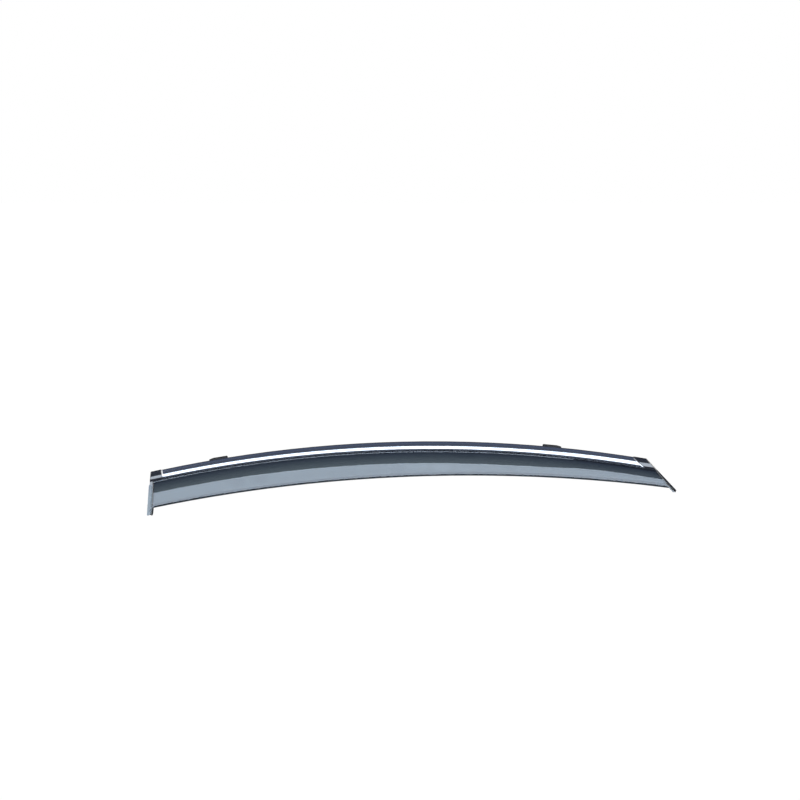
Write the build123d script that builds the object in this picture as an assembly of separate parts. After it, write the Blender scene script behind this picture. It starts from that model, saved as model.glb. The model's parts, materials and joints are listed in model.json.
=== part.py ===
from build123d import *
from build123d.topology import SkipClean
import math
import os

# Rain deflector for the window of a rear door. X runs along the car with the
# front end at minus X, Y points at the door and Z is up. The origin lies on the
# door plane, at the middle of the tape under the crown of the arch.
# Lengths are in millimetres and angles in degrees.

# Side view, in the plane of the door frame
ARCH_RADIUS = 2100.0        # top edge
LOWER_RADIUS = 2530.0       # lower edge of the blade
LOWER_SHIFT = 62.5          # crown of the lower edge, behind the crown of the top edge
CROWN_HEIGHT = 55.4         # from one crown's level down to the other's
FRONT_REACH = 463.9         # from the crown to the front end of the top edge
REAR_REACH = 355.5          # from the crown to the rear end of the top edge
FRONT_LEAN = 4.5            # front end off upright, its foot forwards
REAR_RAKE = 43.0            # rear end off upright, its toe rearwards
FRONT_SPLAY = 14.0          # end walls, opening out towards the door
REAR_SPLAY = 6.0
FOOT_DROP = 13.0            # front end wall, below the lower edge
TOE_DROP = 4.5              # rear end wall, below the lower edge

# Smoked moulding: flange, shoulder, blade and end walls
WALL = 2.8
FLANGE_THICKNESS = 3.0
FLANGE_CHAMFER = 0.5        # front of its top edge, under the trim
SHOULDER_DEPTH = 7.2        # top of the blade, from the back of the flange
BELLY_DEPTH = 17.3          # fullest point of the blade, from the back of the flange
BELLY_DROP = 50.0           # fullest point of the blade, below the top edge
TUCK_RADIUS = 66.0          # blade below its fullest point
RIM_HEIGHT = 0.7            # border that stands round the blade's face
RIM_WIDTH = 1.7
RIM_SLOPE = 0.9             # run of its inner side, along the top
PANEL_CORNER = 7.0          # inside corners of the border
END_ROUND = 1.6
SHOULDER_ROUND = 0.9
BEAD_THICKNESS = 5.5        # bead behind the lower edge, from the blade's face
BEAD_HEIGHT = 6.5
LOWER_ROUND = 4.5           # lower edge of the bead, in front
LOWER_CHAMFER = 0.5         # lower edge of the bead, behind
FOOT_ROUND = 9.0
LIP_WIDTH = 4.2             # flat lip along the back of the front end wall
LIP_THICKNESS = 2.4
LIP_START = 21.5            # below the top edge
LIP_ROUND = 2.8

# Bright trim, rolled from sheet and hooked over the flange
TRIM_HEIGHT = 14.4
TRIM_SHEET = 0.6
TRIM_FOOT = 3.6             # lower edge, in front of the flange
TRIM_BULGE = 3.4            # crown of its face, off the chord
TRIM_BACK_LIP = 2.5         # lip behind the flange
TRIM_HOOK = 0.8             # lip in the groove of the flange
TRIM_FIT = 0.05
TRIM_BEVEL = 0.45           # ends of its face
TRIM_SEAM = 20.0            # from the rear end of its top edge to the seam of its faces

# Caps on the ends of the trim
FRONT_CAP_LENGTH = 14.6     # along the top edge
REAR_CAP_LENGTH = 22.2
REAR_CAP_SLANT = 46.0       # joint with the trim, off upright
CAP_PROUD = 0.8             # over the face of the trim
CAP_TONGUE = 9.0            # plug inside the trim
CAP_TONGUE_DROP = 2.2       # top of the plug, below the top edge
CAP_FIT = 0.15
CAP_CHAMFER = 0.8
CAP_OVERHANG = 2.8          # front cap, past the end of the top edge
CAP_GAP = 0.6               # foot of the front cap, above the lip of the end wall

# Foam tape on the back of the flange
TAPE_THICKNESS = 1.2
TAPE_WIDTH = 10.0
TAPE_DROP = 8.5             # middle of the tape, below the top edge
TAPE_INSET = 9.0            # from each end of the top edge
TAPE_GAP = 3.0              # beside each clip

# Hook clips, heat staked into pockets of the flange
FRONT_CLIP_INSET = 109.4    # middle of the clip, from the front end of the top edge
REAR_CLIP_INSET = 157.5     # middle of the clip, from the rear end of the top edge
CLIP_WIDTH = 31.0
CLIP_RAMP = 8.0             # slope of the hump, towards the near end of the arch
CLIP_STEP = 1.0             # slope of the hump, towards the crown
CLIP_RISE = 1.7             # above the top edge
CLIP_FOOT = 14.5            # below the top edge
CLIP_GAP = 5.5              # mouth of the hook, from the door plane
CLIP_BRIDGE = 1.6
CLIP_LIP = 1.8
CLIP_REACH = 6.5            # end of the hook, below the top edge
CLIP_BARB = 0.8
CLIP_ROUND = 1.0            # crest of the hook
CLIP_SHOULDER = 1.6         # ends of the hump
CLIP_FIT = 0.1
POCKET_DEPTH = 0.6
POCKET_MARGIN = 1.1         # below the back lip of the trim
STAKE_PITCH = 17.0
STAKE_DROP = 9.5            # below the top edge
STAKE_RADIUS = 1.5
STAKE_HEAD = 2.3
STAKE_SLOPE = 0.8           # depth of the countersunk head
STAKE_SUNK = 0.2            # head below the door plane
STAKE_FIT = 0.05

# Depths and circles that follow from the values above
BACK = -TAPE_THICKNESS
FRONT = BACK - FLANGE_THICKNESS
SHOULDER = BACK - SHOULDER_DEPTH
BELLY = BACK - BELLY_DEPTH
WEB_DROP = TRIM_HEIGHT + TRIM_FIT
ARCH_AXIS = Axis((0, 0, TAPE_DROP - ARCH_RADIUS), (0, 1, 0))
LOWER_MIDDLE = TAPE_DROP - CROWN_HEIGHT - LOWER_RADIUS
CHEST_RADIUS = ((SHOULDER - BELLY)**2 + (BELLY_DROP - WEB_DROP)**2) / (2 * (SHOULDER - BELLY))
TRIM_CHORD = math.hypot(TRIM_FOOT, TRIM_HEIGHT)
TRIM_RADIUS = (TRIM_CHORD**2 / 4 + TRIM_BULGE**2) / (2 * TRIM_BULGE)
TRIM_INSET = (TRIM_RADIUS - TRIM_BULGE) / TRIM_CHORD
TRIM_MIDDLE = (
    FRONT - TRIM_FOOT / 2 + TRIM_INSET * TRIM_HEIGHT,
    TRIM_HEIGHT / 2 + TRIM_INSET * TRIM_FOOT,
)
FRONT_JOINT_PLACE = FRONT_CAP_LENGTH - FRONT_REACH
REAR_JOINT_PLACE = REAR_REACH - REAR_CAP_LENGTH
CLIP_PLACES = {
    "front_clip": FRONT_CLIP_INSET - FRONT_REACH,
    "rear_clip": REAR_REACH - REAR_CLIP_INSET,
}
SPARE = 120.0               # what is swept too far and cut off again
ROOM = 10 * SPARE           # size of a cutting block


def turn(x):
    """Angle about the arch's axis of a place on the top edge."""
    return math.degrees(math.asin(x / ARCH_RADIUS))


def top_height(x):
    """Height of the top edge over the origin."""
    return TAPE_DROP - ARCH_RADIUS + math.sqrt(ARCH_RADIUS**2 - x**2)


def drop_of(point):
    """Distance of a point below the top edge."""
    return ARCH_RADIUS - math.hypot(point.X, point.Z - ARCH_AXIS.position.Z)


def below_lower(point):
    """Distance of a point below the blade's lower edge."""
    return LOWER_RADIUS - math.hypot(point.X - LOWER_SHIFT, point.Z - LOWER_MIDDLE)


def deepest_drop():
    """The foot's lower end, below the top edge, with some length to spare."""
    reach = FRONT_REACH + LOWER_SHIFT
    height = LOWER_MIDDLE + math.sqrt(LOWER_RADIUS**2 - reach**2)
    return drop_of(Vector(-FRONT_REACH, 0, height)) + FOOT_DROP + SPARE / 20


SECTION_DROP = deepest_drop()


def end_plane(x, slope, side, splay=0.0):
    """Plane across an end, through the top edge, with its normal outwards."""
    lean = math.radians(slope)
    opening = math.radians(splay)
    normal = (
        side * math.cos(lean) * math.cos(opening),
        -math.sin(opening),
        math.sin(lean) * math.cos(opening),
    )
    return Plane(origin=(x, BACK, top_height(x)), z_dir=normal)


FRONT_END = end_plane(-FRONT_REACH, FRONT_LEAN, -1, FRONT_SPLAY)
REAR_END = end_plane(REAR_REACH, REAR_RAKE, 1, REAR_SPLAY)
FRONT_JOINT = end_plane(FRONT_JOINT_PLACE, turn(FRONT_JOINT_PLACE), -1)
REAR_JOINT = end_plane(REAR_JOINT_PLACE, REAR_CAP_SLANT, 1)
FRONT_FRAME = Plane.XZ.offset(-BACK) * Pos(-FRONT_REACH, top_height(FRONT_REACH)) * Rot(0, 0, -FRONT_LEAN)
FRONT_CAP_END = end_plane(-FRONT_REACH, FRONT_LEAN, -1).offset(CAP_OVERHANG)
REAR_CAP_END = end_plane(REAR_REACH, REAR_RAKE, 1)


def outside(plane):
    """The space on the side that a plane faces."""
    return plane * Box(ROOM, ROOM, ROOM, align=(Align.CENTER, Align.CENTER, Align.MIN))


def inside(plane, depth=ROOM):
    """The space behind a plane, down to a depth."""
    return plane * Box(ROOM, ROOM, depth, align=(Align.CENTER, Align.CENTER, Align.MAX))


def between_ends(solid, inset=0.0):
    return solid - outside(FRONT_END.offset(-inset)) - outside(REAR_END.offset(-inset))


def at(y, drop):
    """A point of a cross-section: its depth, and its distance below the top edge."""
    return (y, TAPE_DROP - drop)


def path(*points):
    return Polyline(*[at(*point) for point in points])


def section(*edges):
    return Plane.YZ * make_face(edges)


def bow(middle, radius, first, last):
    """The front of a circle, between two drops."""
    drops = (first, (first + last) / 2, last)
    depths = [middle[0] - math.sqrt(radius**2 - (drop - middle[1])**2) for drop in drops]
    return ThreePointArc(*[at(y, drop) for y, drop in zip(depths, drops)])


def ends_of(*edges):
    """Depth and drop of the first point and the last point of a run of edges."""
    points = (edges[0] @ 0, edges[-1] @ 1)
    return [(point.X, TAPE_DROP - point.Y) for point in points]


def trim_face(offset, first, last):
    return bow(TRIM_MIDDLE, TRIM_RADIUS + offset, first, last)


def blade_face(offset, first, last):
    """The blade's face, moved outwards: two arcs that meet at the belly."""
    chest = bow((BELLY + CHEST_RADIUS, BELLY_DROP), CHEST_RADIUS + offset, first, BELLY_DROP)
    tuck = bow((BELLY + TUCK_RADIUS, BELLY_DROP), TUCK_RADIUS + offset, BELLY_DROP, last)
    return [chest, tuck]


def ring(face, start, end):
    """Sweep a cross-section along the arch, between two places on the top edge."""
    return revolve(face.rotate(ARCH_AXIS, turn(start)), ARCH_AXIS, turn(end) - turn(start))


def whole_ring(face):
    return ring(face, -FRONT_REACH - SPARE, REAR_REACH + SPARE)


def lower_disc(drop):
    """Everything below a line that runs under the lower edge, by drop."""
    disc = Cylinder(LOWER_RADIUS - drop, 2 * SPARE)
    return Pos(LOWER_SHIFT, 0, LOWER_MIDDLE) * Rot(90, 0, 0) * disc


def near(value, target):
    return abs(value - target) < 0.02


def stands(point):
    """Distance of a point in front of the blade's face."""
    drop = drop_of(point)
    radius = CHEST_RADIUS if drop < BELLY_DROP else TUCK_RADIUS
    return math.hypot(point.Y - BELLY - radius, drop - BELLY_DROP) - radius


def on_border(point):
    """Whether a point is on the front of the border, below the trim and away from the belly line."""
    drop = drop_of(point)
    return near(stands(point), RIM_HEIGHT) and drop > TRIM_HEIGHT and not near(drop, BELLY_DROP)


def blank_section():
    """Flange and shoulder, with the blade filled in up to the back of the flange."""
    face = blade_face(RIM_HEIGHT, WEB_DROP, SECTION_DROP)
    first, last = ends_of(*face)
    rebate = TRIM_SHEET + TRIM_FIT
    back_lip = TRIM_BACK_LIP + TRIM_FIT
    groove = FRONT + TRIM_HOOK + TRIM_FIT
    groove_top = TRIM_HEIGHT - rebate
    flange = path(
        last,
        (BACK, SECTION_DROP),
        (BACK, back_lip),
        (BACK - rebate, back_lip),
        (BACK - rebate, TRIM_SHEET),
        (FRONT + FLANGE_CHAMFER, TRIM_SHEET),
        (FRONT, TRIM_SHEET + FLANGE_CHAMFER),
        (FRONT, groove_top),
        (groove, groove_top),
        (groove, WEB_DROP),
        first,
    )
    return section(*face, flange)


def hollow_section():
    """The space behind the blade, open to the door."""
    floor = SECTION_DROP + WALL
    face = blade_face(-WALL, WEB_DROP + WALL, floor)
    first, last = ends_of(*face)
    return section(*face, path(last, (SPARE, floor), (SPARE, WEB_DROP + WALL), first))


def skin_section(inner, outer, top, slope=0.0):
    """A layer between two offsets from the blade's face, from a drop downwards."""
    first = blade_face(inner, top + slope, SECTION_DROP + WALL)
    last = blade_face(outer, top - slope, SECTION_DROP + WALL)
    sides = zip(ends_of(*first), ends_of(*last))
    return section(*first, *last, *[path(*side) for side in sides])


def corner_web(corner, along, down):
    """Prism that rounds off one corner of the panel."""
    half = math.radians(along.get_angle(down) / 2)
    away = (along + down).normalized()
    first = corner + along * (PANEL_CORNER / math.tan(half))
    last = corner + down * (PANEL_CORNER / math.tan(half))
    crest = corner + away * (PANEL_CORNER / math.sin(half) - PANEL_CORNER)
    clear = corner - away * RIM_WIDTH
    outline = [Line(last, clear), Line(clear, first), ThreePointArc(first, crest, last)]
    return extrude(make_face(outline), PANEL_CORNER, dir=(0, 1, 0), both=True)


def panel():
    """What is taken off the blade's face, so that the border stands."""
    top = WEB_DROP + RIM_WIDTH
    skin = between_ends(whole_ring(skin_section(0, 2 * RIM_HEIGHT, top, RIM_SLOPE)), WALL)
    for edge in [e for e in skin.edges() if near(drop_of(e @ 0.5), top)]:
        corner = edge @ 0.5
        side = -math.copysign(1, corner.X)
        slope = math.radians(FRONT_LEAN if side > 0 else REAR_RAKE)
        arch = math.radians(turn(corner.X))
        along = Vector(side * math.cos(arch), 0, -side * math.sin(arch))
        down = Vector(-side * math.sin(slope), 0, -math.cos(slope))
        skin -= corner_web(corner, along, down)
    return skin


def blank():
    """The outside of the moulding, not yet hollow."""
    body = between_ends(whole_ring(blank_section())) - lower_disc(FOOT_DROP)
    edges = [e for e in body.edges() if on_border(e @ 0.5)]
    foot = [e for e in edges if near(below_lower(e @ 0.5), FOOT_DROP)]
    body = fillet(foot, min(FOOT_ROUND, 0.7 * FOOT_DROP))
    body -= lower_disc(TOE_DROP) & outside(REAR_END.offset(-SPARE))
    edges = [e for e in body.edges() if on_border(e @ 0.5)]
    sides = [e for e in edges if below_lower(e @ 0.5) < min(0, TOE_DROP)]
    ends = [e for e in sides if not near(drop_of(e @ 0.5), WEB_DROP)]
    body = fillet(ends, min(END_ROUND, 0.6 * WALL))
    shoulder = [e for e in body.edges() if on_border(e @ 0.5) and near(drop_of(e @ 0.5), WEB_DROP)]
    return fillet(shoulder, min(SHOULDER_ROUND, 0.6 * RIM_WIDTH))


def end_lip():
    """Flat lip that turns outwards along the back of the front end wall."""
    strip = Rectangle(LIP_WIDTH + WALL / 2, SECTION_DROP, align=(Align.MIN, Align.MAX))
    strip = fillet(strip.vertices().sort_by(Axis.X)[:2], min(LIP_ROUND, 0.7 * LIP_WIDTH))
    lip = extrude(FRONT_FRAME * Pos(-LIP_WIDTH, -LIP_START) * strip, LIP_THICKNESS)
    return lip - lower_disc(FOOT_DROP)


def stake(extra, top):
    """Pin with a countersunk head, from the floor of a clip's pocket up to a depth."""
    floor = BACK - POCKET_DEPTH
    neck = -STAKE_SUNK - STAKE_SLOPE
    profile = Polyline(
        (0, floor),
        (STAKE_RADIUS + extra, floor),
        (STAKE_RADIUS + extra, neck),
        (STAKE_HEAD + extra, -STAKE_SUNK),
        (STAKE_HEAD + extra, top),
        (0, top),
        close=True,
    )
    return revolve(make_face(profile), Axis.Y)


def stakes(x, extra=0.0, top=-STAKE_SUNK / 2):
    """The two pins of a clip, at a place on the top edge."""
    pins = [Pos(side * STAKE_PITCH / 2, 0, TAPE_DROP - STAKE_DROP) * stake(extra, top) for side in (-1, 1)]
    return [pin.rotate(ARCH_AXIS, turn(x)) for pin in pins]


def pocket(x):
    """Seat of a clip in the back of the flange."""
    top = TRIM_BACK_LIP + POCKET_MARGIN
    block = Box(
        CLIP_WIDTH + 2 * CLIP_FIT,
        2 * POCKET_DEPTH,
        CLIP_FOOT - top + 2 * CLIP_FIT,
    )
    middle = TAPE_DROP - (CLIP_FOOT + top) / 2
    return (Pos(0, BACK, middle) * block).rotate(ARCH_AXIS, turn(x))


def bead():
    """What thickens the blade along its lower edge."""
    return whole_ring(skin_section(-BEAD_THICKNESS, 0, WEB_DROP + WALL)) & lower_disc(-BEAD_HEIGHT)


def lower_edges(body, offset):
    """Long edges at the foot of the blade, at an offset from its face."""
    edges = [e for e in body.edges() if near(below_lower(e @ 0.5), 0) and e.length > SPARE]
    return [e for e in edges if near(stands(e @ 0.5), offset)]


def visor_blade():
    body = blank() - between_ends(lower_disc(0), WALL)
    body -= between_ends(whole_ring(hollow_section()), WALL) - bead()
    body -= panel()
    body = fillet(lower_edges(body, 0), min(LOWER_ROUND, 0.85 * BEAD_THICKNESS))
    body = chamfer(lower_edges(body, -BEAD_THICKNESS), min(LOWER_CHAMFER, 0.1 * BEAD_THICKNESS))
    body += end_lip()
    for x in CLIP_PLACES.values():
        body -= pocket(x)
        for pin in stakes(x):
            body += pin
    return body


def bevel(body, plane, size):
    """Chamfer the front edge of the face that lies on a plane."""
    rim = [e for e in body.edges() if near(plane.to_local_coords(e @ 0.5).Z, 0)]
    return chamfer(min(rim, key=lambda edge: (edge @ 0.5).Y), size)


def bevel_ring(size):
    """What a bevel takes off the front end of the trim's face, which is square to the arch."""
    profile = Polyline(
        (-size, TRIM_RADIUS - 2 * size),
        (2 * size, TRIM_RADIUS + size),
        (-size, TRIM_RADIUS + size),
        close=True,
    )
    cutter = Pos(0, *at(*TRIM_MIDDLE)) * revolve(make_face(profile), Axis.X)
    return cutter.rotate(ARCH_AXIS, turn(FRONT_JOINT_PLACE))


def bright_trim():
    face = trim_face(0, 0, TRIM_HEIGHT)
    lining = trim_face(-TRIM_SHEET, TRIM_SHEET, TRIM_HEIGHT - TRIM_SHEET)
    top, foot = ends_of(face)
    inner_top, inner_foot = ends_of(lining)
    hook = FRONT + TRIM_HOOK
    back = path(
        foot,
        (hook, TRIM_HEIGHT),
        (hook, TRIM_HEIGHT - TRIM_SHEET),
        inner_foot,
    )
    over = path(
        inner_top,
        (BACK - TRIM_SHEET, TRIM_SHEET),
        (BACK - TRIM_SHEET, TRIM_BACK_LIP),
        (BACK, TRIM_BACK_LIP),
        (BACK, 0),
        top,
    )
    strip = section(face, back, lining, over)
    seam = REAR_JOINT_PLACE - TRIM_SEAM
    size = min(TRIM_BEVEL, 0.8 * TRIM_SHEET)
    # The slanted joint cuts a short run, so the long faces in front of it end square and mesh evenly.
    with SkipClean():
        rear = ring(strip, seam, REAR_REACH + SPARE) - outside(REAR_JOINT)
        body = ring(strip, FRONT_JOINT_PLACE, seam) - bevel_ring(size) + rear
    return bevel(body, REAR_JOINT, size)


def cap_section():
    """The trim's outline, filled in as far as the flange and the shoulder."""
    face = trim_face(CAP_PROUD, -CAP_PROUD, TRIM_HEIGHT)
    top, foot = ends_of(face)
    lining = path(
        foot,
        (FRONT - TRIM_FIT, TRIM_HEIGHT),
        (FRONT - TRIM_FIT, TRIM_SHEET),
        (BACK - TRIM_SHEET, TRIM_SHEET),
        (BACK - TRIM_SHEET, TRIM_BACK_LIP),
        (BACK, TRIM_BACK_LIP),
        (BACK, -CAP_PROUD),
        top,
    )
    return section(face, lining)


def tongue_section():
    """The plug of a cap, which fits inside the trim."""
    margin = TRIM_SHEET + CAP_FIT
    floor = TRIM_HEIGHT - margin
    face = trim_face(-margin, CAP_TONGUE_DROP, floor)
    top, foot = ends_of(face)
    back = FRONT - CAP_FIT
    return section(face, path(foot, (back, floor), (back, CAP_TONGUE_DROP), top))


def bar(face, place):
    """Run a cross-section straight along the tangent of the top edge at a place."""
    return extrude(face, SPARE, both=True).rotate(ARCH_AXIS, turn(place))


def end_cap(place, end, joint):
    body = bar(cap_section(), place) - outside(end) & outside(joint)
    for plane in (end, joint):
        body = bevel(body, plane, CAP_CHAMFER)
    return body + (bar(tongue_section(), place) & inside(joint, CAP_TONGUE))


def front_cap():
    """Cap with a skirt that hangs over the top of the end wall, down to its lip."""
    cap = end_cap(FRONT_CAP_LENGTH / 2 - FRONT_REACH, FRONT_CAP_END, FRONT_JOINT)
    foot = LIP_START - CAP_GAP
    skirt = Rectangle(SPARE, foot - TRIM_HEIGHT / 2, align=(Align.CENTER, Align.MIN))
    skirt = extrude(FRONT_FRAME * Pos(0, -foot) * skirt, SHOULDER_DEPTH)
    return cap + (skirt & outside(FRONT_END) - outside(FRONT_CAP_END))


def rear_cap():
    return end_cap(REAR_REACH - REAR_CAP_LENGTH / 2, REAR_CAP_END, REAR_JOINT)


def tapes():
    """Strips of foam tape, from the front end past each clip to the rear end."""
    half = TAPE_WIDTH / 2
    face = section(
        path(
            (BACK, TAPE_DROP - half),
            (0, TAPE_DROP - half),
            (0, TAPE_DROP + half),
            (BACK, TAPE_DROP + half),
            (BACK, TAPE_DROP - half),
        )
    )
    stops = [TAPE_INSET - FRONT_REACH]
    for x in CLIP_PLACES.values():
        stops += [x - CLIP_WIDTH / 2 - TAPE_GAP, x + CLIP_WIDTH / 2 + TAPE_GAP]
    stops.append(REAR_REACH - TAPE_INSET)
    names = ("front_tape", "middle_tape", "rear_tape")
    return {name: ring(face, *ends) for name, ends in zip(names, zip(stops[::2], stops[1::2]))}


def hook_clip(x):
    seat = TRIM_BACK_LIP + POCKET_MARGIN
    floor = BACK - POCKET_DEPTH
    outer = CLIP_GAP + CLIP_LIP
    bridge = CLIP_BRIDGE - CLIP_RISE
    profile = Polyline(
        at(floor, CLIP_FOOT),
        at(floor, seat),
        at(BACK, seat),
        at(BACK, -CLIP_RISE),
        at(outer, -CLIP_RISE),
        at(outer, CLIP_REACH),
        at(CLIP_GAP - CLIP_BARB, CLIP_REACH - CLIP_BARB),
        at(CLIP_GAP, CLIP_REACH - 3 * CLIP_BARB),
        at(CLIP_GAP, bridge),
        at(0, bridge),
        at(0, CLIP_FOOT),
        close=True,
    )
    hook = make_face(profile)
    crest = [v for v in hook.vertices() if near(v.Y, TAPE_DROP + CLIP_RISE)]
    hook = extrude(Plane.YZ * fillet(crest, CLIP_ROUND), CLIP_WIDTH, both=True)
    half = CLIP_WIDTH / 2
    first, last = (CLIP_RAMP, CLIP_STEP) if x < 0 else (CLIP_STEP, CLIP_RAMP)
    outline = Polyline(
        at(-half, 2 * CLIP_FOOT),
        at(-half, 0),
        at(first - half, -CLIP_RISE),
        at(half - last, -CLIP_RISE),
        at(half, 0),
        at(half, 2 * CLIP_FOOT),
        close=True,
    )
    front = make_face(outline)
    shoulders = [v for v in front.vertices() if near(v.Y, TAPE_DROP + CLIP_RISE)]
    front = extrude(Plane.XZ * fillet(shoulders, CLIP_SHOULDER), 2 * CLIP_FOOT, both=True)
    clip = (hook & front).rotate(ARCH_AXIS, turn(x))
    for hole in stakes(x, STAKE_FIT, TAPE_THICKNESS):
        clip -= hole
    return clip


def build():
    nodes = {
        "visor_blade": visor_blade(),
        "bright_trim": bright_trim(),
        "front_cap": front_cap(),
        "rear_cap": rear_cap(),
    }
    nodes.update(tapes())
    nodes.update({name: hook_clip(x) for name, x in CLIP_PLACES.items()})
    return nodes


os.makedirs("parts", exist_ok=True)
for name, solid in build().items():
    export_step(solid, f"parts/{name}.step")
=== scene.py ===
import json
import math
from functools import partial

import bmesh
import bpy
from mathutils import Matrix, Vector


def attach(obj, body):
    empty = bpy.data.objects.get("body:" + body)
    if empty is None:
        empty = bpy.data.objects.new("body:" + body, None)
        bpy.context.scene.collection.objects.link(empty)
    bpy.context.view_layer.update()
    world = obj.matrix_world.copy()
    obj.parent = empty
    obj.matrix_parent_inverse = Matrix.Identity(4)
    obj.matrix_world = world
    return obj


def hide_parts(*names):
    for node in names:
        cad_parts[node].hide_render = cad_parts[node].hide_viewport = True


# Rain deflector for a rear door window: looks, light and camera.
# Lengths are in metres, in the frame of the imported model, and angles in degrees.
# Depths grow towards the door, and drops are measured down from the arch.

# Camera
VIEW_ELEVATION = 12.0
VIEW_DISTANCE = 6.0
VIEW_REACH = 50.0           # how far it sees
FRAME_WIDTH = 1.32          # what the picture's width shows at the object
FRAME_MIDDLE = (-0.0536, 0.0, 0.078)
SENSOR = 36.0               # in millimetres

# Sweep of the CAD sections, which gives exact normals to the long reflections
ARCH_RADIUS = 2.1
ARCH_HEIGHT = -2.0915           # axis of the arch
BELLY_DEPTH = -0.0185           # foremost line of the blade's face
BELLY_DROP = 0.05
CHEST_RADIUS = 0.0676144        # the face above that line
TUCK_RADIUS = 0.066             # and below it
BORDER = 0.0007                 # how far the border stands off the face
BORDER_DROPS = (0.01525, 0.01625)       # its face, between the shoulder and the panel
BLADE_OFFSETS = (0.0, BORDER, -0.0028)  # face, border and inside
SHOULDER = (-0.0087136, 0.01535, 0.0009)    # depth, drop and radius of the round over the blade
LOWER_RADIUS = 2.53
LOWER_SHIFT = 0.0625            # axis of the lower edge
LOWER_HEIGHT = -2.5769
LOWER_ROUND = 0.0045
STRIP_DEPTH = 0.0002093         # middle of the strip's section
STRIP_DROP = 0.0087523
STRIP_RADIUS = 0.0097998
STRIP_OFFSETS = (0.0, -0.0006)  # outside and inside
STRIP_ENDS = (                  # a point of each end, where the end faces, and the run of its bevel
    ((-0.4493, 0.0, -0.0401), (-0.9769, 0.0, -0.2139), 0.0024),
    ((0.33329, 0.0, -0.01811), (0.6947, 0.0, 0.7193), 0.0013),
)
STRIP_BEVEL = 0.00045           # depth of the bevels
ON_FACE = 0.00002               # how near to a face its points lie
SAME_WAY = 0.9                  # least cosine between a facet and the face that it lies on

# Materials
SMOKE_SHADED_TOP = (0.12, 0.15, 0.26)          # painted shade: darker tint of the smoked face at the top of the blade
SMOKE_CLEAR = (0.97, 0.98, 1.0)         # its tint lower down, where no shade is painted
SMOKE_SHADE_DROPS = (0.015, 0.036)            # where the painted shade fades into the lower tint
SMOKE_SHINE = (0.72, 0.86, 1.0, 1.0)    # tint of its reflections
SMOKE_ROUGHNESS = (0.01, 0.04)
SMOKE_TINT = (0.0, 0.13, 0.18, 1.0)     # what the smoke lets pass, beside its density
SMOKE_DENSITY = 1005.0
STRIP = (0.80, 0.82, 0.86)
STRIP_ROUGHNESS = (0.10, 0.16)
CAP = (0.012, 0.012, 0.016)
CAP_ROUGHNESS = (0.14, 0.24)
FOAM = (0.05, 0.05, 0.055)
FOAM_ROUGHNESS = 0.85
NYLON = (0.022, 0.022, 0.026)
NYLON_ROUGHNESS = (0.4, 0.6)
WHITE = (1.0, 1.0, 1.0)

# Stage
FLOOR_HEIGHT = -0.30
FLOOR_SIZE = 9.0
FLOOR_GLOW = 0.91           # share of the floor's white that shadows leave
FLOOR_GREY = 0.25
BACKGROUND = 1.0            # the world where it shows
AMBIENT = 0.4               # the world as light on the object
STAGE_MIDDLE = (0.0, -0.015, -0.03)     # what the lights and the canopy stand round

# Softbox that slopes up in front: what the blade's light band shows
SOFTBOX_NEAR = (-0.42, -0.264)  # depth and height of its lower edge
SOFTBOX_FAR = -2.1              # depth of its upper edge
SOFTBOX_TOP = (                 # upper edge: place along the object, elevation from the blade
    (-1.20, 14.0),
    (-0.10, 15.2),
    (0.25, 15.0),
    (0.40, 18.0),
    (0.50, 22.5),
    (0.60, 25.0),
    (1.20, 27.0),
)
SOFTBOX_LIGHT = 2.45
SOFTBOX_COLOUR = (0.82, 0.91, 1.04)
SOFTBOX_RIM = 1.3               # brighter strip along its upper edge
SOFTBOX_RIM_LIGHT = 3.5

# Dark room that only reflections see, from the softbox over the top to the back
CANOPY_RADIUS = 2.8
CANOPY_SIDES = (-1.6, 1.6)
CANOPY_ELEVATIONS = (8.0, 184.0)    # from the front over the top
CANOPY_STEPS = 60
CANOPY_COLOURS = (                  # share of the way to the back, colour
    (0.0, (0.14, 0.165, 0.205)),
    (0.12, (0.07, 0.085, 0.12)),
    (0.45, (0.085, 0.105, 0.165)),
    (1.0, (0.02, 0.02, 0.03)),
)

# Dark sheet under the object: the lines along the lower edges
FLAG_HEIGHT = -0.28
FLAG_DEPTHS = (-0.40, 0.25)
FLAG_WIDTH = 3.0
FLAG_COLOURS = (                    # share of the way to the back, colour
    (0.0, (0.12, 0.14, 0.19)),
    (0.20, (0.09, 0.11, 0.15)),
    (0.35, (0.04, 0.05, 0.07)),
)

# Strip of light over the top, for the thin lines along the upper edges
TOP_LIGHT_RADIUS = 2.3
TOP_LIGHT_SIDES = (-1.0, 1.0)
TOP_LIGHT_ELEVATIONS = (115.0, 158.0)
TOP_LIGHT_STEPS = 8
TOP_LIGHT = 4.0

# Thin strip of light that only the blade shows, in the border along its top
BORDER_LIGHT = 2.3
BORDER_LIGHT_DISTANCE = 2.6
BORDER_LIGHT_TURNS = (-13.5, 6.4)   # where it starts and ends round the arch
BORDER_LIGHT_STEPS = 48

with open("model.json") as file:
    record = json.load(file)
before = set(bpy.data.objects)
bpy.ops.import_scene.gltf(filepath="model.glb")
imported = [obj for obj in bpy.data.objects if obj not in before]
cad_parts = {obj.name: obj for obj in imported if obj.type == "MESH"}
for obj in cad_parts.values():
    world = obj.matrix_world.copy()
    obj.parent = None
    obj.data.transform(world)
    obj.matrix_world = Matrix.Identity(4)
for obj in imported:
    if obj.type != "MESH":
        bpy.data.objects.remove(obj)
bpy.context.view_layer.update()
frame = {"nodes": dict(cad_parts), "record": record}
scene = bpy.context.scene


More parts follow.
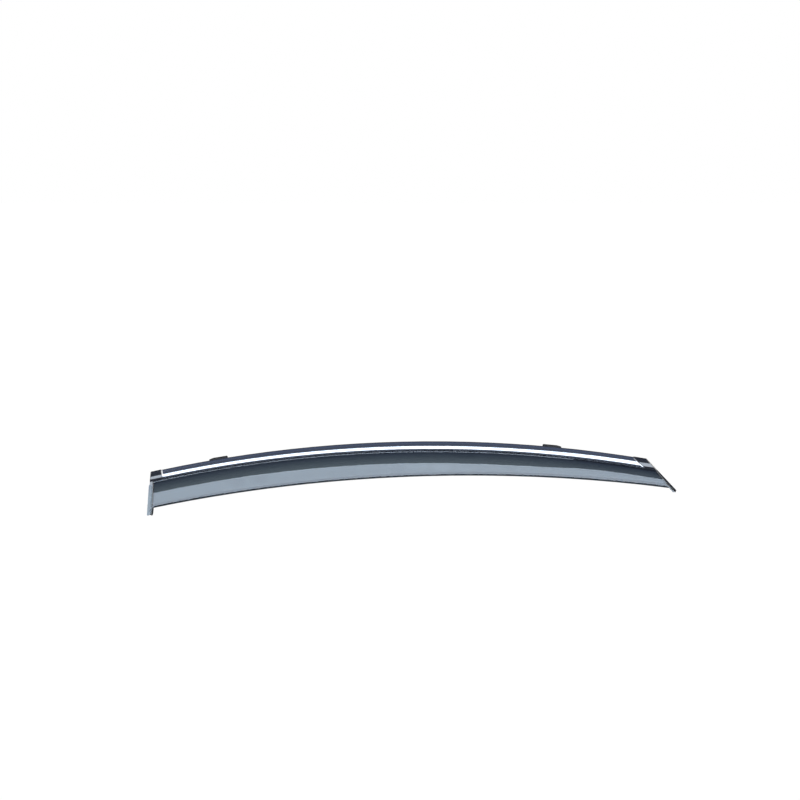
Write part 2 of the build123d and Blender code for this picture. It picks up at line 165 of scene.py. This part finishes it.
class Nodes:
    """A node tree that is written as calls."""

    def __init__(self, tree):
        self.tree = tree
        self.tree.nodes.clear()

    def plug(self, socket, value):
        """Link an input to another node's output, or set it to a constant."""
        if isinstance(value, bpy.types.NodeSocket):
            self.tree.links.new(value, socket)
        else:
            socket.default_value = value

    def add(self, kind, *numbered, operation=None, **named):
        """A new node, with its inputs given in their order or by name."""
        node = self.tree.nodes.new("ShaderNode" + kind)
        if operation:
            node.operation = operation
        for socket, value in zip(node.inputs, numbered):
            self.plug(socket, value)
        for name, value in named.items():
            self.plug(node.inputs[name.replace("_", " ")], value)
        return node

    def place(self, kind="Object"):
        """Coordinates of a point, by default the object's own."""
        return self.add("TexCoord").outputs[kind]

    def noise(self, scale, detail, stretch=(1, 1, 1)):
        """Noise in the object's own coordinates, stretched along the axes."""
        mapping = self.add("Mapping", Vector=self.place(), Scale=stretch)
        texture = self.add("TexNoise", Vector=mapping.outputs["Vector"], Scale=scale, Detail=detail)
        return texture.outputs["Fac"]

    def ramp(self, value, *stops):
        """Colours over a value, given as (position, colour) pairs."""
        ramp = self.add("ValToRGB", Fac=value)
        elements = ramp.color_ramp.elements
        while len(elements) < len(stops):
            elements.new(0.5)
        for element, (position, colour) in zip(elements, stops):
            element.position = position
            element.color = (*colour, 1.0)
        return ramp.outputs["Color"]

    def span(self, value, low, high):
        """A value of 0 to 1 moved to another range."""
        return self.add("MapRange", Value=value, To_Min=low, To_Max=high).outputs["Result"]

    def share(self, value, start, end):
        """Where a value lies between two others, as 0 to 1."""
        return self.add("MapRange", Value=value, From_Min=start, From_Max=end).outputs["Result"]

    def arch_reach(self):
        """Distance from the axis of the arch."""
        split = self.add("SeparateXYZ", Vector=self.place()).outputs
        flat = self.add("CombineXYZ", X=split["X"], Z=split["Z"]).outputs["Vector"]
        axis = (0.0, 0.0, ARCH_HEIGHT)
        return self.add("VectorMath", flat, axis, operation="DISTANCE").outputs["Value"]

    def bump(self, height, distance):
        """Normals that follow a height."""
        return self.add("Bump", Height=height, Distance=distance).outputs["Normal"]


def material(name):
    made = bpy.data.materials.new(name)
    made.use_nodes = True
    return made, Nodes(made.node_tree)


def scaled(colour, factor):
    return [factor * channel for channel in colour]


def smoked_plastic():
    made, nodes = material("smoked_plastic")
    flow = nodes.noise(scale=14.0, detail=3.0, stretch=(0.25, 1, 1))
    fine = nodes.noise(scale=900.0, detail=2.0)
    # Painted shade: the base colour darkens the top of the blade and fades out lower down
    depth = nodes.share(nodes.arch_reach(), *[ARCH_RADIUS - drop for drop in SMOKE_SHADE_DROPS])
    shader = nodes.add(
        "BsdfPrincipled",
        Base_Color=nodes.ramp(depth, (0.0, SMOKE_SHADED_TOP), (1.0, SMOKE_CLEAR)),
        Roughness=nodes.span(flow, *SMOKE_ROUGHNESS),
        IOR=1.6,
        Transmission_Weight=0.96,
        Specular_Tint=SMOKE_SHINE,
        Coat_Weight=1.0,
        Coat_Roughness=0.02,
        Coat_IOR=1.8,
        Normal=nodes.bump(fine, distance=0.000003),
    )
    smoke = nodes.add("VolumeAbsorption", Color=SMOKE_TINT, Density=SMOKE_DENSITY)
    nodes.add("OutputMaterial", Surface=shader.outputs["BSDF"], Volume=smoke.outputs["Volume"])
    return made


def bright_strip():
    made, nodes = material("bright_strip")
    rolled = nodes.noise(scale=700.0, detail=3.0, stretch=(0.01, 1, 1))
    haze = nodes.noise(scale=20.0, detail=2.0, stretch=(0.3, 1, 1))
    shader = nodes.add(
        "BsdfPrincipled",
        Base_Color=nodes.ramp(haze, (0.3, scaled(STRIP, 0.95)), (0.7, STRIP)),
        Metallic=1.0,
        Roughness=nodes.span(haze, *STRIP_ROUGHNESS),
        Normal=nodes.bump(rolled, distance=0.000003),
    )
    nodes.add("OutputMaterial", Surface=shader.outputs["BSDF"])
    return made


def cap_plastic():
    made, nodes = material("cap_plastic")
    cloud = nodes.noise(scale=60.0, detail=3.0)
    grain = nodes.noise(scale=1500.0, detail=2.0)
    shader = nodes.add(
        "BsdfPrincipled",
        Base_Color=nodes.ramp(cloud, (0.3, CAP), (0.8, scaled(CAP, 1.6))),
        Roughness=nodes.span(cloud, *CAP_ROUGHNESS),
        Coat_Weight=1.0,
        Coat_Roughness=0.06,
        Coat_IOR=2.3,
        Normal=nodes.bump(grain, distance=0.000008),
    )
    nodes.add("OutputMaterial", Surface=shader.outputs["BSDF"])
    return made


def foam_tape():
    made, nodes = material("foam_tape")
    cells = nodes.add("TexVoronoi", Vector=nodes.place(), Scale=1400.0).outputs["Distance"]
    shader = nodes.add(
        "BsdfPrincipled",
        Base_Color=nodes.ramp(cells, (0.0, scaled(FOAM, 0.6)), (0.6, FOAM)),
        Roughness=FOAM_ROUGHNESS,
        Normal=nodes.bump(cells, distance=0.00015),
    )
    nodes.add("OutputMaterial", Surface=shader.outputs["BSDF"])
    return made


def clip_nylon():
    made, nodes = material("clip_nylon")
    grain = nodes.noise(scale=1200.0, detail=4.0)
    cloud = nodes.noise(scale=90.0, detail=2.0)
    shader = nodes.add(
        "BsdfPrincipled",
        Base_Color=nodes.ramp(cloud, (0.3, NYLON), (0.8, scaled(NYLON, 1.5))),
        Roughness=nodes.span(grain, *NYLON_ROUGHNESS),
        Normal=nodes.bump(grain, distance=0.00003),
    )
    nodes.add("OutputMaterial", Surface=shader.outputs["BSDF"])
    return made


def out_of_circle(point, depth, drop):
    """Direction and distance to a point from the middle of a swept circle."""
    reach = math.hypot(point.x, point.z - ARCH_HEIGHT)
    up = reach - ARCH_RADIUS + drop
    out = Vector((up * point.x / reach, point.y - depth, up * (point.z - ARCH_HEIGHT) / reach))
    return out.normalized(), out.length


def face_normal(point, depth, drop, radius):
    """Normal of a swept circle at a point, or nothing off its face."""
    normal, distance = out_of_circle(point, depth, drop)
    return None if abs(distance - radius) > ON_FACE else normal


def swept(depth, drop, radius):
    """The function that gives the normals of one swept circle."""
    return partial(face_normal, depth=depth, drop=drop, radius=radius)


def round_normal(point):
    """Normal of the lower edge's round at a point, or nothing off the round."""
    turn = math.atan2(point.x - LOWER_SHIFT, point.z - LOWER_HEIGHT)
    x = LOWER_SHIFT + (LOWER_RADIUS + LOWER_ROUND) * math.sin(turn)
    z = LOWER_HEIGHT + (LOWER_RADIUS + LOWER_ROUND) * math.cos(turn)
    below = ARCH_RADIUS - math.hypot(x, z - ARCH_HEIGHT) - BELLY_DROP
    radius = CHEST_RADIUS if below < 0 else TUCK_RADIUS
    y = BELLY_DEPTH + radius - math.sqrt((radius - LOWER_ROUND)**2 - below**2)
    out = point - Vector((x, y, z))
    return None if abs(out.length - LOWER_ROUND) > ON_FACE else out.normalized()


class Bevel:
    """A long bevel at one end of the strip, down to the foot of the short one in the CAD mesh."""

    def __init__(self, end, facing, run):
        self.end = Vector(end)
        self.facing = Vector(facing)
        self.run = run

    def past_start(self, point):
        """How far past the bevel's start a point lies, towards the strip's end."""
        return (point - self.end).dot(self.facing) + self.run

    def slope(self, normal):
        """Slope of the bevel, which is less where the strip's face meets the end at a slant."""
        return STRIP_BEVEL / self.run * self.facing.cross(normal).length

    def normal(self, point):
        """Normal of the bevel at a point, or nothing off the bevel."""
        past = self.past_start(point)
        normal, distance = out_of_circle(point, STRIP_DEPTH, STRIP_DROP)
        slope = self.slope(normal)
        if past < -ON_FACE or abs(distance - STRIP_RADIUS + slope * past) > ON_FACE:
            return None
        return (normal + slope * self.facing).normalized()

    def snap(self, point):
        """The point on the strip's face, near another one, where the bevel starts."""
        normal, distance = out_of_circle(point, STRIP_DEPTH, STRIP_DROP)
        snapped = point + normal * (STRIP_RADIUS - distance)
        along = Vector((snapped.z - ARCH_HEIGHT, 0.0, -snapped.x)).normalized()
        return snapped - along * (self.past_start(snapped) / along.dot(self.facing))

    def cut(self, work, on_strip):
        """Cut the strip's face where the bevel starts."""
        faces = [face for face in work.faces if all(on_strip(vert.co) for vert in face.verts)]
        edges = dict.fromkeys(edge for face in faces for edge in face.edges)
        verts = dict.fromkeys(vert for face in faces for vert in face.verts)
        start = self.end - self.run * self.facing
        geometry = [*verts, *edges, *faces]
        cut = bmesh.ops.bisect_plane(work, geom=geometry, plane_co=start, plane_no=self.facing)
        for vert in cut["geom_cut"]:
            if isinstance(vert, bmesh.types.BMVert):
                vert.co = self.snap(vert.co)

    def press(self, work, on_strip):
        """Press the strip's face down past the bevel's start."""
        for vert in work.verts:
            past = self.past_start(vert.co)
            normal = on_strip(vert.co)
            if normal and past > ON_FACE:
                slope = self.slope(normal)
                vert.co -= normal * (past * slope / (1 + slope * normal.dot(self.facing)))


STRIP_BEVELS = [Bevel(*end) for end in STRIP_ENDS]


def lengthen_bevels(mesh):
    """Turn the short bevels of the strip's face into long ones."""
    on_strip = swept(STRIP_DEPTH, STRIP_DROP, STRIP_RADIUS)
    work = bmesh.new()
    work.from_mesh(mesh)
    for bevel in STRIP_BEVELS:
        bevel.cut(work, on_strip)
        bevel.press(work, on_strip)
    work.to_mesh(mesh)
    work.free()


def blade_faces():
    """Functions that give the normals of the blade's exact faces."""
    radii = (CHEST_RADIUS, TUCK_RADIUS)
    faces = [swept(BELLY_DEPTH + r, BELLY_DROP, r + offset) for r in radii for offset in BLADE_OFFSETS]
    return [*faces, swept(*SHOULDER), round_normal]


def strip_faces():
    """Functions that give the normals of the strip's exact faces."""
    faces = [swept(STRIP_DEPTH, STRIP_DROP, STRIP_RADIUS + offset) for offset in STRIP_OFFSETS]
    return [*faces, *[bevel.normal for bevel in STRIP_BEVELS]]


def corner_normals(mesh, polygon, faces):
    """Exact normals for the corners of a facet, or none where it lies on no exact face."""
    points = [mesh.vertices[index].co for index in polygon.vertices]
    found = []
    for face in faces:
        exact = [face(point) for point in points]
        if None in exact:
            continue
        facing = polygon.normal.dot(exact[0])
        if abs(facing) > SAME_WAY:
            found = [math.copysign(1.0, facing) * normal for normal in exact]
    return found


def set_normals(mesh, faces):
    """Give the corners that lie on exact faces the normals of those faces."""
    normals = [corner.vector.copy() for corner in mesh.corner_normals]
    for polygon in mesh.polygons:
        for corner, normal in zip(polygon.loop_indices, corner_normals(mesh, polygon, faces)):
            normals[corner] = normal
    mesh.normals_split_custom_set(normals)


def smooth_copy(name, node, faces, shape=None):
    """A copy of a CAD node, in the same place, whose reflections run smooth."""
    source = frame["nodes"][node]
    piece = bpy.data.objects.new(name, source.data.copy())
    scene.collection.objects.link(piece)
    if shape:
        shape(piece.data)
    set_normals(piece.data, faces)
    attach(piece, "root")
    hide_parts(node)
    return piece


def dress_nodes():
    """Give each CAD node, or the copy that stands for it, the material of its slot in the record."""
    makers = (smoked_plastic, bright_strip, cap_plastic, foam_tape, clip_nylon)
    made = {maker.__name__: maker() for maker in makers}
    shown = dict(frame["nodes"])
    shown["visor_blade"] = smooth_copy("smoked_blade", "visor_blade", blade_faces())
    shown["bright_trim"] = smooth_copy("polished_strip", "bright_trim", strip_faces(), lengthen_bevels)
    for part in frame["record"]["subparts"]:
        piece = shown[part["node"]]
        piece.data.materials.clear()
        piece.data.materials.append(made[part["material_slot"]])


def seen(nodes):
    """1 for the rays that show the background: camera, glossy and transmission rays."""
    path = nodes.add("LightPath").outputs
    first = nodes.add("Math", path["Is Camera Ray"], path["Is Glossy Ray"], operation="MAXIMUM")
    both = nodes.add("Math", first.outputs["Value"], path["Is Transmission Ray"], operation="MAXIMUM")
    return both.outputs["Value"]


def white_world():
    world = bpy.data.worlds.new("studio")
    world.use_nodes = True
    scene.world = world
    nodes = Nodes(world.node_tree)
    strength = nodes.span(seen(nodes), AMBIENT, BACKGROUND)
    background = nodes.add("Background", Color=(*WHITE, 1.0), Strength=strength)
    nodes.add("OutputWorld", Surface=background.outputs["Background"])


def stage_band(name, points, made):
    """A piece of the stage: a band of faces between rows of two points."""
    starts = range(0, len(points) - 2, 2)
    mesh = bpy.data.meshes.new(name)
    mesh.from_pydata(points, [], [(i, i + 1, i + 3, i + 2) for i in starts])
    mesh.materials.append(made)
    piece = bpy.data.objects.new(name, mesh)
    scene.collection.objects.link(piece)
    return piece


def sheet(width, depths, height):
    """Corners of a level sheet, in rows of two."""
    return [(x, y, height) for y in depths for x in (-width / 2, width / 2)]


def arch_points(elevations, radius, sides, steps):
    """Rows of two points round the stage's middle, from one elevation to another."""
    start, end = elevations
    points = []
    for step in range(steps + 1):
        angle = math.radians(start + (end - start) * step / steps)
        y = STAGE_MIDDLE[1] - radius * math.cos(angle)
        z = STAGE_MIDDLE[2] + radius * math.sin(angle)
        points += [(x, y, z) for x in sides]
    return points


def hide_from_camera(piece):
    """Keep a piece of the stage, and any shadow of it, out of the picture."""
    piece.visible_camera = False
    piece.visible_shadow = False


def only_reflected(piece):
    """Nothing but reflections sees a piece of the stage, and it casts no light or shade."""
    hide_from_camera(piece)
    piece.visible_diffuse = False
    piece.visible_transmission = False


def glowing(name, strength, colour=WHITE):
    """Emission from the front of a face, which is clear from behind."""
    made, nodes = material(name)
    behind = nodes.add("NewGeometry").outputs["Backfacing"]
    light = nodes.add("Emission", Color=(*colour, 1.0), Strength=strength)
    clear = nodes.add("BsdfTransparent")
    sides = nodes.add("MixShader", behind, light.outputs["Emission"], clear.outputs["BSDF"])
    nodes.add("OutputMaterial", Surface=sides.outputs["Shader"])
    return made


def shaded(name, colours):
    """A glow whose colour changes from the front to the back."""
    made, nodes = material(name)
    depth = nodes.add("SeparateXYZ", Vector=nodes.place("Generated")).outputs["Y"]
    light = nodes.add("Emission", Color=nodes.ramp(depth, *colours))
    nodes.add("OutputMaterial", Surface=light.outputs["Emission"])
    return made


def floor():
    """Pale floor: white where it shows, and still shaded by the object."""
    made, nodes = material("floor")
    diffuse = nodes.add("BsdfDiffuse", Color=(FLOOR_GREY, FLOOR_GREY, FLOOR_GREY, 1.0))
    glow = nodes.add("Emission", Strength=nodes.span(seen(nodes), 0.0, FLOOR_GLOW))
    total = nodes.add("AddShader", diffuse.outputs["BSDF"], glow.outputs["Emission"])
    nodes.add("OutputMaterial", Surface=total.outputs["Shader"])
    half = FLOOR_SIZE / 2
    stage_band("floor", sheet(FLOOR_SIZE, (-half, half), FLOOR_HEIGHT), made)


def top_edge(lowered):
    """Points along the softbox's upper edge, lowered by an angle."""
    _, depth, height = STAGE_MIDDLE
    tops = [(x, math.tan(math.radians(elevation - lowered))) for x, elevation in SOFTBOX_TOP]
    return [(x, SOFTBOX_FAR, height + (depth - SOFTBOX_FAR) * slope) for x, slope in tops]


def light_panel(name, lower, upper, strength):
    """A panel of light between two edges."""
    points = [point for pair in zip(lower, upper) for point in pair]
    hide_from_camera(stage_band(name, points, glowing(name, strength, SOFTBOX_COLOUR)))


def softbox():
    near = [(x, *SOFTBOX_NEAR) for x, _ in SOFTBOX_TOP]
    rim = top_edge(SOFTBOX_RIM)
    light_panel("softbox", near, rim, SOFTBOX_LIGHT)
    light_panel("softbox_rim", rim, top_edge(0.0), SOFTBOX_RIM_LIGHT)


def canopy():
    points = arch_points(CANOPY_ELEVATIONS, CANOPY_RADIUS, CANOPY_SIDES, CANOPY_STEPS)
    only_reflected(stage_band("canopy", points, shaded("canopy", CANOPY_COLOURS)))


def flag():
    points = sheet(FLAG_WIDTH, FLAG_DEPTHS, FLAG_HEIGHT)
    only_reflected(stage_band("flag", points, shaded("flag", FLAG_COLOURS)))


def top_light():
    points = arch_points(TOP_LIGHT_ELEVATIONS, TOP_LIGHT_RADIUS, TOP_LIGHT_SIDES, TOP_LIGHT_STEPS)
    hide_from_camera(stage_band("top_light", points, glowing("top_light", TOP_LIGHT)))


def view_back():
    """Direction from the object to the camera."""
    slope = math.radians(VIEW_ELEVATION)
    return Vector((0.0, -math.cos(slope), math.sin(slope)))


def border_image(angle, drop):
    """Where a light stands that the camera sees in the border, at a place along the arch."""
    radius = CHEST_RADIUS + BORDER
    rise = (BELLY_DROP - drop) / radius
    front = math.sqrt(1 - rise * rise)
    across = Vector((math.sin(angle), 0.0, math.cos(angle)))
    axis = Vector((0.0, BELLY_DEPTH + CHEST_RADIUS - radius * front, ARCH_HEIGHT))
    point = axis + across * (ARCH_RADIUS - drop)
    normal = across * rise - Vector((0.0, front, 0.0))
    view = point - Vector(FRAME_MIDDLE) - view_back() * VIEW_DISTANCE
    return point + view.normalized().reflect(normal) * BORDER_LIGHT_DISTANCE


def border_light():
    first, last = BORDER_LIGHT_TURNS
    points = []
    for step in range(BORDER_LIGHT_STEPS + 1):
        angle = math.radians(first + (last - first) * step / BORDER_LIGHT_STEPS)
        points += [border_image(angle, drop) for drop in BORDER_DROPS]
    colour = scaled(SOFTBOX_COLOUR, BORDER_LIGHT)
    made = shaded("border_light", ((0.0, colour), (1.0, colour)))
    piece = stage_band("border_light", points, made)
    only_reflected(piece)
    lit = bpy.data.collections.new("border_light_receivers")
    lit.objects.link(bpy.data.objects["smoked_blade"])
    piece.light_linking.receiver_collection = lit


def camera():
    data = bpy.data.cameras.new("camera")
    data.sensor_width = SENSOR
    data.lens = SENSOR * VIEW_DISTANCE / FRAME_WIDTH
    data.clip_end = VIEW_REACH
    piece = bpy.data.objects.new("camera", data)
    scene.collection.objects.link(piece)
    piece.location = Vector(FRAME_MIDDLE) + view_back() * VIEW_DISTANCE
    piece.rotation_euler = (-view_back()).to_track_quat("-Z", "Y").to_euler()
    scene.camera = piece


scene.view_settings.view_transform = "Standard"
dress_nodes()
white_world()
floor()
softbox()
canopy()
flag()
top_light()
border_light()
camera()
